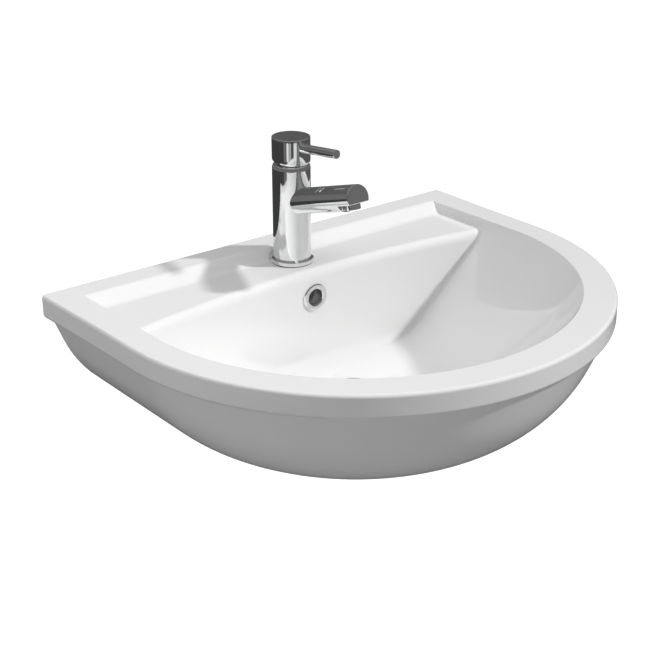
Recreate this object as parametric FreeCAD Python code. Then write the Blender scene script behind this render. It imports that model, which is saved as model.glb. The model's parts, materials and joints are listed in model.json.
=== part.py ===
import FreeCAD, Part
import math
import os
from FreeCAD import Vector

# A D-shaped wash basin with a single-lever mixer tap, an overflow ring and a click waste.
# Millimetres. X runs across the basin, +Y points into the wall and +Z points up.
# The origin is midway between the two wall-fixing holes, on the wall face.

# Basin outline, seen from above
basin_width = 550.0
basin_depth = 440.0
front_radius = 272.0
back_corner_radius = 6.0

# Rim band
rim_height = 75.0
band_height = 25.0
band_top_round = 3.5
band_bottom_round = 4.5

# Bowl opening and tap deck
side_rim = 31.5
front_rim = 35.5
back_rim = 31.0
rim_edge_round = 3.0
edge_lead = 0.3
deck_drop = 10.0
lip_draft = 6.0
step_run = 18.0
step_round = 20.0
deck_edge_round = 10.0
deck_thickness = 10.0

# Bowl inside
bowl_depth = 133.5
bowl_wall_angle = 43.0
bowl_floor_fall = 5.5
bowl_turn_radius = 70.0
bowl_back = 103.0
bowl_back_radius = 1190.0
waste_setback = 61.0
bowl_foot_round = 25.0
crease_round = 6.0

# Underside
ceramic_wall = 12.0
hull_inset = 7.0
hull_setback = 5.5
hull_axis_shift = 5.5
hull_upper_angle = 22.0
hull_lower_angle = 60.0
hull_corner_depth = 105.5
hull_turn_radius = 150.0
hull_depth = 175.0

# Wall fixings and the access hole in the back panel
fixing_spacing = 280.0
fixing_hole_radius = 7.0
access_width = 190.0
access_top = 30.0
access_round = 25.0

# Overflow
overflow_drop = 40.8
overflow_ring_diameter = 30.8
overflow_ring_proud = 2.4
overflow_ring_fullness = 0.8
overflow_bore = 18.4
overflow_tube_wall = 1.2
duct_width = 24.0
duct_depth = 8.0
duct_wall = 5.0

# Waste
waste_hole_radius = 23.0
waste_flange_diameter = 64.0
waste_flange_thickness = 3.0
waste_flange_fullness = 0.6
waste_seal_thickness = 2.0
waste_seal_inset = 1.0
waste_tail_diameter = 41.9
waste_bore_diameter = 35.0
waste_length = 80.0
waste_outlet_length = 24.0
waste_groove_width = 2.0
waste_groove_depth = 0.8
waste_sink = 5.5
waste_boss_wall = 15.0
waste_boss_rise = 7.5
waste_slot_width = 11.0
waste_slot_count = 4
waste_slot_height = 6.0
waste_bottom_seal_thickness = 4.0
waste_bottom_seal_margin = 1.0
waste_washer_thickness = 2.0
waste_washer_diameter = 62.0
backnut_thickness = 12.0
backnut_across_flats = 58.0
bridge_thickness = 6.0
bridge_width = 7.0
bridge_hub_radius = 8.0
bridge_drop = 26.0

# Click plug
plug_diameter = 58.0
plug_thickness = 3.5
plug_crown = 1.5
plug_seal_inner = 38.0
plug_seal_width = 3.5
plug_seal_thickness = 1.2
plug_boss_radius = 6.0
plug_boss_height = 3.0
plug_stem_radius = 3.2
plug_sleeve_radius = 5.5
plug_sleeve_length = 18.0
plug_screw_radius = 4.0

# Tap, heights above the deck
tap_setback = 63.5
tap_hole_radius = 17.5
tap_landing_margin = 1.5
tap_landing_flare = 6.0
tap_height = 141.0
tap_body_diameter = 41.6
tap_body_height = 110.0
tap_shoulder_depth = 2.1
tap_shoulder_rise = 1.6
base_seal_thickness = 1.0
base_seal_inset = 0.7
base_ring_diameter = 47.0
base_ring_height = 7.0
base_ring_edge = 5.0
spigot_depth = 6.0
spigot_gap = 0.6
spout_diameter = 28.2
spout_height = 68.0
spout_angle = 16.5
spout_reach = 111.5
spout_flat_drop = 6.0
spout_waterway_radius = 5.5
spout_waterway_start = 4.0

# Aerator, set square to the spout
aerator_diameter = 16.0
aerator_back = 11.0
aerator_depth = 12.0
aerator_wall = 1.5
aerator_height = 11.0
aerator_lip = 1.0
aerator_seal_thickness = 1.6
aerator_seal_width = 3.0
aerator_bar_count = 5
aerator_bar_pitch = 1.6
aerator_bar_width = 0.8
aerator_insert_drop = 1.0

# Handle
cap_gap = 3.6
cap_rake = 5.5
cap_wall = 3.5
cap_hollow = 9.0
cap_edge_round = 1.0
lever_diameter = 9.6
lever_height = 129.7
lever_angle = 6.5
lever_reach = 77.2
lever_seat = 4.0
lever_screw_radius = 3.0
lever_screw_length = 9.0
lever_edge_round = 0.6
grub_radius = 2.5
grub_length = 5.0
grub_key_radius = 1.25
grub_key_depth = 2.5
grub_height = 124.0
index_radius = 3.4
index_thickness = 2.6
index_inset = 0.3

# Cartridge
cartridge_diameter = 28.0
cartridge_height = 29.5
cartridge_wall = 1.7
cartridge_lid = 2.5
cartridge_mouth_radius = 7.2
chamber_floor = 74.0
chamber_seal_thickness = 2.0
nut_diameter = 31.0
nut_bore = 20.0
nut_height = 7.0
nut_slot_width = 4.0
nut_slot_depth = 2.4
disc_thickness = 4.0
moving_disc_diameter = 17.6
mixing_pocket_radius = 5.0
mixing_pocket_depth = 2.0
carrier_thickness = 5.2
carrier_pocket_radius = 2.45
carrier_floor = 1.0
rotor_height = 12.0
rotor_slot_width = 9.2
rotor_slot_length = 15.0
pivot_pin_radius = 1.5
pivot_pin_inset = 1.0
pivot_height = 97.0
stem_radius = 4.0
stem_top = 129.0
stem_shoulder = 91.0
finger_ball_radius = 2.3
finger_ball_height = 87.8
finger_shank_radius = 1.5
port_back = 1.0
port_radius = 3.0
outlet_radius = 3.5
outlet_offset = 7.0

# Tap fixing below the deck
inlet_spacing = 15.0
inlet_thread_radius = 4.6
inlet_thread_depth = 12.0
stud_radius = 4.0
stud_offset = 12.0
stud_grip = 14.0
stud_length = 62.0
horseshoe_diameter = 48.0
horseshoe_slot = 26.4
horseshoe_slot_end = 6.2
washer_room_margin = 2.0
rubber_washer_thickness = 3.0
clamp_thickness = 2.0
clamp_inset = 1.0
stud_nut_flats = 13.0
stud_nut_height = 6.5

# Clearances
seat_gap = 0.3
running_gap = 0.1
thread_gap = 0.05
over = 1.0

# Levels and places worked out from the sizes above
rim_z = rim_height
deck_z = rim_z - deck_drop
band_z = rim_z - band_height
floor_z = rim_z - bowl_depth
foot_z = rim_z - hull_depth
bowl_half = front_radius - side_rim
bowl_centre = -(bowl_back + waste_setback)
bowl_stretch = (basin_depth - front_rim + bowl_centre) / bowl_half
hull_half = front_radius - hull_inset
hull_centre = bowl_centre - hull_axis_shift
hull_stretch = (basin_depth - hull_setback + hull_centre) / hull_half
tap_y = -tap_setback
tap_radius = tap_body_diameter / 2
up = Vector(0, 0, 1)


def radians_of(*degrees):
    return [math.radians(d) for d in degrees]


def meet(point_a, angle_a, point_b, angle_b):
    """Crossing of two lines in a profile plane, each given by a point and its slope angle."""
    ca, sa = math.cos(angle_a), math.sin(angle_a)
    cb, sb = math.cos(angle_b), math.sin(angle_b)
    dx, dz = point_b[0] - point_a[0], point_b[1] - point_a[1]
    along = (dx * sb - dz * cb) / (ca * sb - sa * cb)
    return point_a[0] + along * ca, point_a[1] + along * sa


def profile_face(corners, plane="XZ"):
    """Closed face through corners (u, v) or (u, v, radius), with a tangent arc where a radius is given."""
    place = {"XZ": lambda u, v: Vector(u, 0, v), "YZ": lambda u, v: Vector(0, u, v),
             "XY": lambda u, v: Vector(u, v, 0)}[plane]
    count = len(corners)
    entries, exits, middles = [], [], []
    for k, corner in enumerate(corners):
        here = Vector(corner[0], corner[1], 0)
        if len(corner) == 2:
            entries.append(here)
            exits.append(here)
            middles.append(None)
            continue
        before = (Vector(*corners[k - 1][:2], 0) - here).normalize()
        after = (Vector(*corners[(k + 1) % count][:2], 0) - here).normalize()
        half_turn = before.getAngle(after) / 2
        tangent = corner[2] / math.tan(half_turn)
        bisector = (before + after).normalize()
        entries.append(here + before * tangent)
        exits.append(here + after * tangent)
        middles.append(here + bisector * (corner[2] / math.sin(half_turn) - corner[2]))
    edges = []
    for k in range(count):
        if middles[k] is not None:
            arc = [place(p.x, p.y) for p in (entries[k], middles[k], exits[k])]
            edges.append(Part.Arc(*arc).toShape())
        start, end = exits[k], entries[(k + 1) % count]
        if (end - start).Length > 1e-6:
            edges.append(Part.LineSegment(place(start.x, start.y), place(end.x, end.y)).toShape())
    return Part.Face(Part.Wire(edges))


def turned(corners, centre=(0, 0, 0), degrees=360):
    """Solid turned from a profile in X and Z about a vertical axis."""
    solid = profile_face(corners).revolve(Vector(0, 0, 0), up, degrees)
    solid.translate(Vector(*centre))
    return solid


def tube(outer, inner, low, high, centre=(0, 0)):
    return turned([(inner, low), (outer, low), (outer, high), (inner, high)], (centre[0], centre[1], 0))


def rod(radius, low, high, centre=(0, 0)):
    return Part.makeCylinder(radius, high - low, Vector(centre[0], centre[1], low))


def block(low, high):
    size = [b - a for a, b in zip(low, high)]
    return Part.makeBox(*size, Vector(*low))


def hexagon(across_flats, low, high, centre):
    reach = across_flats / 2 / math.cos(math.pi / 6)
    points = [Vector(centre[0] + reach * math.cos(math.pi * k / 3),
                     centre[1] + reach * math.sin(math.pi * k / 3), low) for k in range(7)]
    return Part.Face(Part.makePolygon(points)).extrude(Vector(0, 0, high - low))


def horseshoe_run(corners, centre_y, back_y, stretch):
    """Solid whose side profile runs round a stretched half circle in front and straight to back_y."""
    longer = FreeCAD.Matrix()
    longer.scale(1, stretch, 1)
    front = turned(corners, degrees=-180).transformed(longer, True, True)
    front.translate(Vector(0, centre_y, 0))
    half = profile_face(corners)
    half.translate(Vector(0, centre_y, 0))
    straight = half.extrude(Vector(0, back_y - centre_y, 0))
    mirrored = straight.mirror(Vector(0, 0, 0), Vector(1, 0, 0))
    return front.fuse([straight, mirrored]).removeSplitter()


def edges_where(shape, test):
    return [edge for edge in shape.Edges if test(edge)]


def upright_edges(shape, level, front_y):
    """Edges that pass through a level and lie behind front_y."""
    behind = edges_where(shape, lambda e: e.BoundBox.YMin > front_y)
    return [edge for edge in behind if edge.BoundBox.ZMin < level < edge.BoundBox.ZMax]


# Basin


def rim_band():
    """Rim block: a round front whose widest points run tangent into sides that end at the wall corners."""
    half = basin_width / 2
    centre_y = front_radius - basin_depth
    lean = math.atan2(half - front_radius, -centre_y)
    half_chord = math.hypot(half - front_radius, centre_y) / (2 * math.cos(lean / 2))
    corner, widest = Vector(half, 0, band_z), Vector(front_radius, centre_y, band_z)
    middle = widest + Vector(math.sin(lean / 2), math.cos(lean / 2), 0) * half_chord
    side = Part.Arc(corner, middle, widest).toShape()
    nose = Vector(0, -basin_depth, band_z)
    far_corner, far_widest = Vector(-half, 0, band_z), Vector(-front_radius, centre_y, band_z)
    outline = Part.Wire([Part.LineSegment(far_corner, corner).toShape(), side,
                         Part.Arc(widest, nose, far_widest).toShape(),
                         side.mirror(Vector(0, 0, 0), Vector(1, 0, 0))])
    band = Part.Face(outline).extrude(Vector(0, 0, band_height))
    corners = edges_where(band, lambda e: e.BoundBox.ZLength > band_height / 2 and e.BoundBox.YMax > -over)
    band = band.makeFillet(back_corner_radius, corners)
    top = edges_where(band, lambda e: e.BoundBox.ZMin > rim_z - over)
    band = band.makeFillet(band_top_round, top)
    bottom = edges_where(band, lambda e: e.BoundBox.ZMax < band_z + over)
    return band.makeFillet(band_bottom_round, bottom)


def hull_corners(inset):
    """Underside profile: a steep flank, a wide turn and a flat lower slope, moved in by inset."""
    steep, flat = radians_of(hull_upper_angle, hull_lower_angle)
    corner_z = rim_z - hull_corner_depth
    corner_x = hull_half - (band_z - corner_z) * math.tan(steep)
    flank = (hull_half - inset * math.cos(steep), band_z + inset * math.sin(steep))
    slope = (corner_x - inset * math.cos(flat), corner_z + inset * math.sin(flat))
    flank_angle, slope_angle = math.pi / 2 - steep, math.pi / 2 - flat
    turn = meet(flank, flank_angle, slope, slope_angle)
    top_z = band_z + over if inset == 0 else band_z - over
    low_z = foot_z if inset == 0 else foot_z - over
    top = meet(flank, flank_angle, (0, top_z), 0)
    low = meet(slope, slope_angle, (0, low_z), 0)
    return [(0, low_z), low, (turn[0], turn[1], hull_turn_radius - inset), top, (0, top_z)]


def bowl_corners(outset):
    """Bowl profile: a gently falling floor, a round turn and a sloping wall, moved out by outset."""
    steep, fall = radians_of(bowl_wall_angle, bowl_floor_fall)
    wall_foot = (bowl_half - lip_draft + outset * math.cos(steep), deck_z - outset * math.sin(steep))
    floor = (0, floor_z - outset / math.cos(fall))
    turn = meet(floor, fall, wall_foot, math.pi / 2 - steep)
    lower = [floor, (turn[0], turn[1], bowl_turn_radius + outset)]
    if outset:
        top = meet(wall_foot, math.pi / 2 - steep, (0, rim_z), 0)
        return lower + [top, (0, rim_z)]
    flare_z = rim_z + edge_lead
    outside = bowl_half + front_rim / 2
    return lower + [(bowl_half - lip_draft, deck_z), (bowl_half, flare_z, rim_edge_round),
                    (outside, flare_z), (outside, rim_z + deck_drop), (0, rim_z + deck_drop)]


def back_wall_axis_y():
    return -(bowl_back + bowl_back_radius)


def deck_and_back_wall():
    """Ceramic behind the bowl: the flat deck, its round front edge, the back wall and its foot."""
    far, near = bowl_back_radius + bowl_back, bowl_back_radius - bowl_back / 2
    low = floor_z - ceramic_wall
    face = profile_face([(near, low), (far, low), (far, deck_z),
                         (bowl_back_radius, deck_z, deck_edge_round),
                         (bowl_back_radius, floor_z, bowl_foot_round), (near, floor_z)])
    span = math.degrees(math.asin((bowl_half + front_rim) / bowl_back_radius))
    face.rotate(Vector(0, 0, 0), up, 90 - span)
    solid = face.revolve(Vector(0, 0, 0), up, 2 * span)
    solid.translate(Vector(0, back_wall_axis_y(), 0))
    return solid


def back_step():
    """Ceramic of the back rim with its soft step down to the deck."""
    top_y, low_y = -back_rim, -(back_rim + step_run)
    high_z = rim_z + edge_lead
    face = profile_face([(over, floor_z), (over, high_z), (top_y, high_z, step_round),
                         (low_y, deck_z, step_round), (low_y - step_run, deck_z),
                         (low_y - step_run, floor_z)], "YZ")
    solid = face.extrude(Vector(2 * (bowl_half + front_rim), 0, 0))
    solid.translate(Vector(-bowl_half - front_rim, 0, 0))
    return solid


def bowl_space():
    """The open space of the bowl and of the shallow recess over the deck."""
    space = horseshoe_run(bowl_corners(0), bowl_centre, 0, bowl_stretch)
    space = space.cut(back_step()).cut(deck_and_back_wall()).removeSplitter()
    creases = upright_edges(space, (deck_z + floor_z) / 2, bowl_centre + over)
    return space.makeFillet(crease_round, creases)


def bowl_shell():
    """The bowl made thicker by the ceramic wall, ending at the back of its back wall."""
    shell = horseshoe_run(bowl_corners(ceramic_wall), bowl_centre, 0, bowl_stretch)
    limit = Part.makeCylinder(bowl_back_radius + ceramic_wall, rim_z - foot_z + 2 * over,
                              Vector(0, back_wall_axis_y(), foot_z - over))
    return shell.common(limit)


def duct_levels():
    """Under the floor: the duct's top, its floor and the underside of its block."""
    top = floor_z - ceramic_wall
    return top, top - duct_depth, top - duct_depth - duct_wall


def duct_block():
    half = duct_width / 2 + duct_wall
    wall_back = -bowl_back + ceramic_wall
    top, _, low = duct_levels()
    upright_top = rim_z - overflow_drop + overflow_bore / 2 + duct_wall - over
    rear = wall_back + duct_depth + duct_wall
    upright = block((-half, wall_back - over, low), (half, rear, upright_top))
    level = block((-half, bowl_centre, low), (half, rear, top + over))
    boss_radius = waste_hole_radius + waste_boss_wall
    boss = rod(boss_radius, under_boss(), top + over, (0, bowl_centre))
    return upright.fuse([level, boss])


def duct_space():
    half = duct_width / 2
    wall_back = -bowl_back + ceramic_wall
    top, floor, _ = duct_levels()
    upright_top = rim_z - overflow_drop + overflow_bore / 2
    upright = block((-half, wall_back, floor), (half, wall_back + duct_depth, upright_top))
    level = block((-half, bowl_centre, floor), (half, wall_back + duct_depth, top))
    ring = rod(waste_hole_radius + duct_wall, floor, top, (0, bowl_centre))
    return upright.fuse([level, ring])


def waste_seat():
    return floor_z - waste_sink


def overflow_hole_radius():
    return overflow_bore / 2 + overflow_tube_wall + seat_gap


def access_hole():
    """Opening in the back panel for the tap fixings and the waste, open at the bottom."""
    half = access_width / 2
    top = rim_z - access_top
    face = profile_face([(-half, foot_z - over), (half, foot_z - over), (half, top, access_round),
                         (-half, top, access_round)])
    face.translate(Vector(0, over, 0))
    return face.extrude(Vector(0, -(ceramic_wall + 2 * over), 0))


def make_basin():
    hull = horseshoe_run(hull_corners(0), hull_centre, 0, hull_stretch)
    hollow = horseshoe_run(hull_corners(ceramic_wall), hull_centre, -ceramic_wall, hull_stretch)
    hollow = hollow.cut(bowl_shell()).cut(duct_block())
    solid = rim_band().fuse(hull)
    solid = solid.cut(hollow).cut(bowl_space())
    room_radius = horseshoe_diameter / 2 + washer_room_margin
    washer_room = rod(room_radius, band_z - over - seat_gap, washer_top(), (0, tap_y))
    fixing_hole = Part.makeCylinder(fixing_hole_radius, ceramic_wall + 2 * over,
                                    Vector(-fixing_spacing / 2, over, 0), Vector(0, -1, 0))
    second_hole = fixing_hole.translated(Vector(fixing_spacing, 0, 0))
    landing = base_ring_diameter / 2 + tap_landing_margin
    tap_landing = Part.makeCone(landing, landing + tap_landing_flare, deck_drop, Vector(0, tap_y, deck_z))
    tap_hole = rod(tap_hole_radius, deck_z - 2 * deck_thickness, deck_z + over, (0, tap_y))
    overflow = Part.makeCylinder(overflow_hole_radius(), ceramic_wall + 2 * over,
                                 Vector(0, -bowl_back - over, rim_z - overflow_drop), Vector(0, 1, 0))
    waste_hole = rod(waste_hole_radius, foot_z, floor_z + over, (0, bowl_centre))
    seat_radius = waste_flange_diameter / 2 + seat_gap
    flange_seat = rod(seat_radius, waste_seat(), floor_z + ceramic_wall, (0, bowl_centre))
    return solid.cut([duct_space(), washer_room, fixing_hole, second_hole, tap_landing, tap_hole, overflow,
                      waste_hole, flange_seat, access_hole()])


# Overflow ring


def make_overflow_ring():
    """Chromed ring with a rounded face and a short tube through the back wall."""
    bore, ring = overflow_bore / 2, overflow_ring_diameter / 2
    sleeve = bore + overflow_tube_wall
    round_face = overflow_ring_proud * overflow_ring_fullness
    profile = [(bore, -ceramic_wall), (sleeve, -ceramic_wall), (sleeve, seat_gap), (ring, seat_gap),
               (ring, overflow_ring_proud, round_face), (bore, overflow_ring_proud, round_face)]
    solid = turned(profile)
    solid.rotate(Vector(0, 0, 0), Vector(1, 0, 0), 90)
    solid.translate(Vector(0, -bowl_back, rim_z - overflow_drop))
    return solid


# Tap body


def at_tap(height):
    return deck_z + height


def spout_frame(distance, drop):
    """Point at a distance along the spout's axis and a drop square to it, in the tap's middle plane."""
    lean = math.radians(spout_angle)
    y = tap_y - distance * math.cos(lean) - drop * math.sin(lean)
    z = at_tap(spout_height) + distance * math.sin(lean) - drop * math.cos(lean)
    return Vector(0, y, z)


def spout_direction():
    lean = math.radians(spout_angle)
    return Vector(0, -math.cos(lean), math.sin(lean))


def spout_end_distance():
    return spout_reach / math.cos(math.radians(spout_angle))


def aerator_distance():
    return spout_end_distance() - aerator_back


def on_spout(solid, distance, drop):
    """Lean a solid from upright to the spout's angle and set it at a place along the spout."""
    solid.rotate(Vector(0, 0, 0), Vector(1, 0, 0), -spout_angle)
    solid.translate(spout_frame(distance, drop))
    return solid


def make_spout_bar():
    """Round bar cut square at its end, with a flat under its tip for the aerator."""
    bar = Part.makeCylinder(spout_diameter / 2, spout_end_distance(), spout_frame(0, 0), spout_direction())
    size = spout_diameter * 2
    below = block((-size, -size, -size), (size, 0, 0))
    flat_start = aerator_distance() - aerator_diameter / 2 - over
    flat_drop = spout_flat_drop * math.cos(math.radians(spout_angle))
    return bar.cut(on_spout(below, flat_start, flat_drop))


def make_tap_body():
    """Chromed casting: straight body, spout, cartridge chamber and waterways."""
    low = at_tap(base_seal_thickness)
    top = at_tap(tap_body_height)
    neck = tap_radius - tap_shoulder_depth
    column = turned([(0, low), (tap_radius, low), (tap_radius, top), (neck, top + tap_shoulder_rise),
                     (0, top + tap_shoulder_rise)], (0, tap_y, 0))
    spigot = rod(tap_hole_radius - spigot_gap, at_tap(-spigot_depth), low + over, (0, tap_y))
    body = column.fuse([make_spout_bar(), spigot])
    above = top + tap_shoulder_rise + over
    chamber = rod(cartridge_diameter / 2 + running_gap, at_tap(chamber_floor), above, (0, tap_y))
    nut_room = rod(nut_diameter / 2 + thread_gap, nut_low(), above, (0, tap_y))
    waterway = Part.makeCylinder(spout_waterway_radius, aerator_distance() - spout_waterway_start,
                                 spout_frame(spout_waterway_start, 0), spout_direction())
    aerator_bore = rod(aerator_diameter / 2 + thread_gap, -spout_diameter, aerator_seal_thickness)
    aerator_bore = on_aerator_axis(aerator_bore)
    outlet_top = at_tap(chamber_floor) + over
    outlet = rod(outlet_radius, at_tap(spout_height), outlet_top, (0, tap_y - outlet_offset))
    cuts = [chamber, nut_room, waterway, aerator_bore, outlet]
    for side in (-1, 1):
        inlet = (side * inlet_spacing / 2, tap_y + port_back)
        cuts.append(rod(inlet_thread_radius, at_tap(-spigot_depth) - over,
                        at_tap(-spigot_depth + inlet_thread_depth), inlet))
        cuts.append(rod(port_radius, at_tap(-spigot_depth), at_tap(chamber_floor) + over, inlet))
    cuts.append(rod(stud_radius + thread_gap, at_tap(-spigot_depth) - over,
                    at_tap(-spigot_depth + stud_grip), (0, tap_y + stud_offset)))
    return body.cut(cuts)


def make_base_seal():
    outer = base_ring_diameter / 2 - base_seal_inset
    return tube(outer, tap_hole_radius, deck_z, at_tap(base_seal_thickness), (0, tap_y))


def make_base_ring():
    """Chromed ring round the foot of the tap, with a sloping top."""
    inner, outer = tap_radius + thread_gap, base_ring_diameter / 2
    low = at_tap(base_seal_thickness)
    return turned([(inner, low), (outer, low), (outer, at_tap(base_ring_edge)),
                   (inner, at_tap(base_ring_height))], (0, tap_y, 0))


# Aerator


def on_aerator_axis(solid):
    """Stand a solid that was turned about Z on the aerator's axis, its zero at the housing's top."""
    return on_spout(solid, aerator_distance(), aerator_depth - aerator_height)


def make_aerator_housing():
    """Screwed cup whose lip carries the insert."""
    outer, inner = aerator_diameter / 2, aerator_diameter / 2 - aerator_wall
    lip = inner - aerator_lip
    low, ledge = -aerator_height, -aerator_height + aerator_lip
    solid = turned([(outer, 0), (outer, low), (lip, low), (lip, ledge), (inner, ledge), (inner, 0)])
    return on_aerator_axis(solid)


def make_aerator_insert():
    """Plastic flow straightener: a ring filled with crossing bars."""
    radius = aerator_diameter / 2 - aerator_wall - thread_gap
    low, high = -aerator_height + aerator_lip, -aerator_insert_drop
    solid = tube(radius, radius - aerator_wall, low, high)
    half = radius - aerator_wall / 2
    bar = aerator_bar_width / 2
    bars = []
    for k in range(aerator_bar_count):
        shift = (k - (aerator_bar_count - 1) / 2) * aerator_bar_pitch
        reach = math.sqrt(half ** 2 - shift ** 2)
        bars.append(block((shift - bar, -reach, low), (shift + bar, reach, high)))
        bars.append(block((-reach, shift - bar, low), (reach, shift + bar, high)))
    return on_aerator_axis(solid.fuse(bars).removeSplitter())


def make_aerator_seal():
    outer = aerator_diameter / 2 - thread_gap
    solid = tube(outer, outer - aerator_seal_width, 0, aerator_seal_thickness - thread_gap)
    return on_aerator_axis(solid)


# Cartridge


def nut_low():
    return at_tap(chamber_floor + chamber_seal_thickness + cartridge_height)


def ports(low, high, radius):
    """Hot, cold and mixed water passages."""
    holes = [rod(radius, low, high, (side * inlet_spacing / 2, tap_y + port_back)) for side in (-1, 1)]
    holes.append(rod(radius, low, high, (0, tap_y - outlet_offset)))
    return holes


def make_cartridge_seal():
    low = at_tap(chamber_floor)
    high = low + chamber_seal_thickness
    disc = rod(cartridge_diameter / 2, low, high, (0, tap_y))
    return disc.cut(ports(low - over, high + over, port_radius))


def make_cartridge_housing():
    """Plastic cup, open below, with a round mouth for the stem."""
    low = at_tap(chamber_floor + chamber_seal_thickness)
    high = low + cartridge_height
    outer, inner = cartridge_diameter / 2, cartridge_diameter / 2 - cartridge_wall
    mouth, lid = cartridge_mouth_radius, high - cartridge_lid
    return turned([(inner, low), (outer, low), (outer, high), (mouth, high), (mouth, lid), (inner, lid)],
                  (0, tap_y, 0))


def make_fixed_disc():
    low = at_tap(chamber_floor + chamber_seal_thickness)
    high = low + disc_thickness
    disc = rod(cartridge_diameter / 2 - cartridge_wall - running_gap, low, high, (0, tap_y))
    return disc.cut(ports(low - over, high + over, port_radius))


def moving_disc_low():
    return at_tap(chamber_floor + chamber_seal_thickness + disc_thickness) + running_gap


def make_moving_disc():
    """Upper ceramic disc with a mixing pocket on its underside."""
    low = moving_disc_low()
    disc = rod(moving_disc_diameter / 2, low, low + disc_thickness, (0, tap_y))
    pocket = rod(mixing_pocket_radius, low - over, low + mixing_pocket_depth, (0, tap_y - port_back))
    return disc.cut(pocket)


def make_disc_carrier():
    low = moving_disc_low() + disc_thickness
    high = low + carrier_thickness
    carrier = rod(moving_disc_diameter / 2, low, high, (0, tap_y))
    return carrier.cut(rod(carrier_pocket_radius, low + carrier_floor, high + over, (0, tap_y)))


def make_rotor():
    """Turning block that carries the stem on a cross pin."""
    high = at_tap(chamber_floor + chamber_seal_thickness + cartridge_height) - cartridge_lid - running_gap
    low = high - rotor_height
    radius = cartridge_diameter / 2 - cartridge_wall - running_gap
    turning = rod(radius, low, high, (0, tap_y))
    slot = block((-rotor_slot_width / 2, tap_y - rotor_slot_length / 2, low - over),
                 (rotor_slot_width / 2, tap_y + rotor_slot_length / 2, high + over))
    return turning.cut([slot, pin_rod(pivot_pin_radius, cartridge_diameter)])


def pin_rod(radius, length):
    start = Vector(-length / 2, tap_y, at_tap(pivot_height))
    return Part.makeCylinder(radius, length, start, Vector(1, 0, 0))


def make_pivot_pin():
    return pin_rod(pivot_pin_radius, cartridge_diameter - 2 * cartridge_wall - 2 * pivot_pin_inset)


def make_stem():
    """Lever stem: a round upper part on the cross pin and a ball finger that pushes the disc."""
    shaft = rod(stem_radius, at_tap(stem_shoulder), at_tap(stem_top), (0, tap_y))
    shank = rod(finger_shank_radius, at_tap(finger_ball_height), at_tap(stem_shoulder) + over, (0, tap_y))
    ball = Part.makeSphere(finger_ball_radius, Vector(0, tap_y, at_tap(finger_ball_height)))
    return shaft.fuse([shank, ball]).cut(pin_rod(pivot_pin_radius + thread_gap, cartridge_diameter))


def make_cartridge_nut():
    """Ring nut that holds the cartridge down, with two spanner slots."""
    low = nut_low()
    high = low + nut_height
    nut = tube(nut_diameter / 2, nut_bore / 2, low, high, (0, tap_y))
    slot = block((-nut_diameter, tap_y - nut_slot_width / 2, high - nut_slot_depth),
                 (nut_diameter, tap_y + nut_slot_width / 2, high + over))
    return nut.cut(slot)


# Handle


def lever_frame(distance):
    lean = math.radians(lever_angle)
    return Vector(0, tap_y - distance * math.cos(lean), at_tap(lever_height) + distance * math.sin(lean))


def lever_direction():
    lean = math.radians(lever_angle)
    return Vector(0, -math.cos(lean), math.sin(lean))


def lever_seat_distance():
    return (tap_radius - lever_seat) / math.cos(math.radians(lever_angle))


def make_handle_cap():
    """Round cap with a raked lower edge, hollow over the cartridge nut."""
    top = at_tap(tap_height)
    low = at_tap(tap_body_height)
    cap = turned([(0, low), (tap_radius, low), (tap_radius, top, cap_edge_round), (0, top)], (0, tap_y, 0))
    size = 2 * tap_body_diameter
    under = Part.makeBox(size, size, size, Vector(-size / 2, -size / 2, -size))
    under.rotate(Vector(0, 0, 0), Vector(1, 0, 0), cap_rake)
    under.translate(Vector(0, tap_y, at_tap(tap_body_height + cap_gap)))
    hollow = rod(tap_radius - cap_wall, low - over, at_tap(tap_body_height + cap_hollow), (0, tap_y))
    socket = rod(stem_radius + thread_gap, low, at_tap(stem_top) + seat_gap, (0, tap_y))
    seat = lever_seat_distance()
    lever_hole = Part.makeCylinder(lever_diameter / 2 + thread_gap, tap_body_diameter, lever_frame(seat),
                                   lever_direction())
    screw_hole = Part.makeCylinder(lever_screw_radius + thread_gap, lever_screw_length + seat_gap,
                                   lever_frame(seat), lever_direction() * -1)
    grub_hole = rear_rod(grub_radius + thread_gap, 0, tap_body_diameter)
    plug_depth = tap_radius - index_inset - index_thickness
    plug_hole = rear_rod(index_radius + thread_gap, plug_depth, tap_body_diameter)
    return cap.cut([under, hollow, socket, lever_hole, screw_hole, grub_hole, plug_hole])


def rear_rod(radius, near, far):
    """Rod that points to the wall from the tap's axis, at the grub screw's height."""
    start = Vector(0, tap_y + near, at_tap(grub_height))
    return Part.makeCylinder(radius, far - near, start, Vector(0, 1, 0))


def make_lever():
    """Straight round lever with a screwed end."""
    seat = lever_seat_distance()
    end = lever_reach / math.cos(math.radians(lever_angle))
    bar = Part.makeCylinder(lever_diameter / 2, end - seat, lever_frame(seat), lever_direction())
    tip = edges_where(bar, lambda e: e.BoundBox.YMax < tap_y - lever_reach + 2 * over)
    bar = bar.makeFillet(lever_edge_round, tip)
    screw = Part.makeCylinder(lever_screw_radius, lever_screw_length + over, lever_frame(seat + over),
                              lever_direction() * -1)
    return bar.fuse(screw)


def make_grub_screw():
    start = stem_radius + thread_gap
    screw = rear_rod(grub_radius, start, start + grub_length)
    key = rear_rod(grub_key_radius, start + grub_length - grub_key_depth, start + grub_length + over)
    return screw.cut(key)


def make_index_plug():
    outer = tap_radius - index_inset
    return rear_rod(index_radius, outer - index_thickness, outer)


# Tap fixing below the deck


def horseshoe(radius, low, high, hole_radius):
    """C-shaped washer, open to the front, with a hole for the stud."""
    disc = rod(radius, low, high, (0, tap_y))
    slot = block((-horseshoe_slot / 2, tap_y - 2 * radius, low - over),
                 (horseshoe_slot / 2, tap_y + horseshoe_slot_end, high + over))
    return disc.cut([slot, rod(hole_radius, low - over, high + over, (0, tap_y + stud_offset))])


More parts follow.
